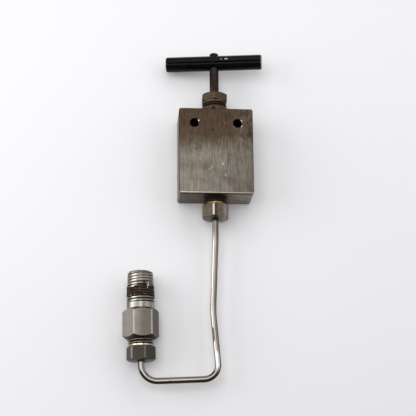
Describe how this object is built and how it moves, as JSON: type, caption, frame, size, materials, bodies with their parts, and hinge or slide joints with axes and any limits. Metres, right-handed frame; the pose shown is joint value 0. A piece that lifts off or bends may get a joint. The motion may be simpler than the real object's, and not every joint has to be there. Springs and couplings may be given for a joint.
{
  "type": "high-pressure needle valve",
  "caption": "Block needle valve with T handle, coned tube ports and a bent steel tube that ends in a hexagonal male taper-thread connector.",
  "frame": {"origin": "centre of the block's back mounting face", "axes": "+X out of the outlet port, +Y along the stem towards the handle, +Z out of the block's front face"},
  "size_m": [0.0723, 0.175, 0.0191],
  "materials": {
    "block_steel": "ground stainless steel with brown staining",
    "gland_steel": "turned stainless steel, tarnished brown",
    "nut_steel": "turned stainless steel, dull",
    "connector_nut_steel": "dark turned stainless steel",
    "connector_steel": "bright turned stainless steel",
    "sleeve_steel": "turned stainless steel",
    "tube_steel": "drawn stainless tube, polished by handling",
    "spindle_steel": "dark brown oxidised steel",
    "stem_steel": "ground hard steel",
    "screw_steel": "black oxide steel",
    "handle_black": "gloss black enamel, chipped",
    "packing_white": "filled fluoroplastic",
    "washer_bronze": "bronze",
    "sealant_brown": "hardened brown thread paste"
  },
  "bodies": {
    "valve_body": {"body_block": "block_steel", "packing_gland": "gland_steel", "gland_lock_screw": "screw_steel", "packing_washer_lower": "washer_bronze", "packing_ring_1": "packing_white", "packing_ring_2": "packing_white", "packing_ring_3": "packing_white", "packing_washer_upper": "washer_bronze", "inlet_gland_nut": "nut_steel", "inlet_sleeve": "sleeve_steel", "pressure_tube": "tube_steel", "connector_body": "connector_steel", "connector_gland_nut": "connector_nut_steel", "connector_sleeve": "sleeve_steel", "thread_sealant": "sealant_brown"},
    "lower_stem": {"needle_stem": "stem_steel"},
    "handle": {"spindle": "spindle_steel", "stem_retainer": "sleeve_steel", "thrust_washer": "screw_steel", "handle_bar": "handle_black", "handle_pin": "screw_steel"}
  },
  "joints": [
    {"name": "stem_rise", "type": "slide", "parent": "valve_body", "child": "lower_stem", "axis": [0, 1, 0], "range_m": [-0.00092, 0.00183]},
    {"name": "handle_turn", "type": "hinge", "parent": "lower_stem", "child": "handle", "pos_m": [0, 0.0523, 0.00953], "axis": [0, 1, 0], "range_deg": [-360, 720]}
  ],
  "couplings": [
    {"joint": "stem_rise", "follows": "handle_turn", "m_per_rad": 0.00014435}
  ]
}
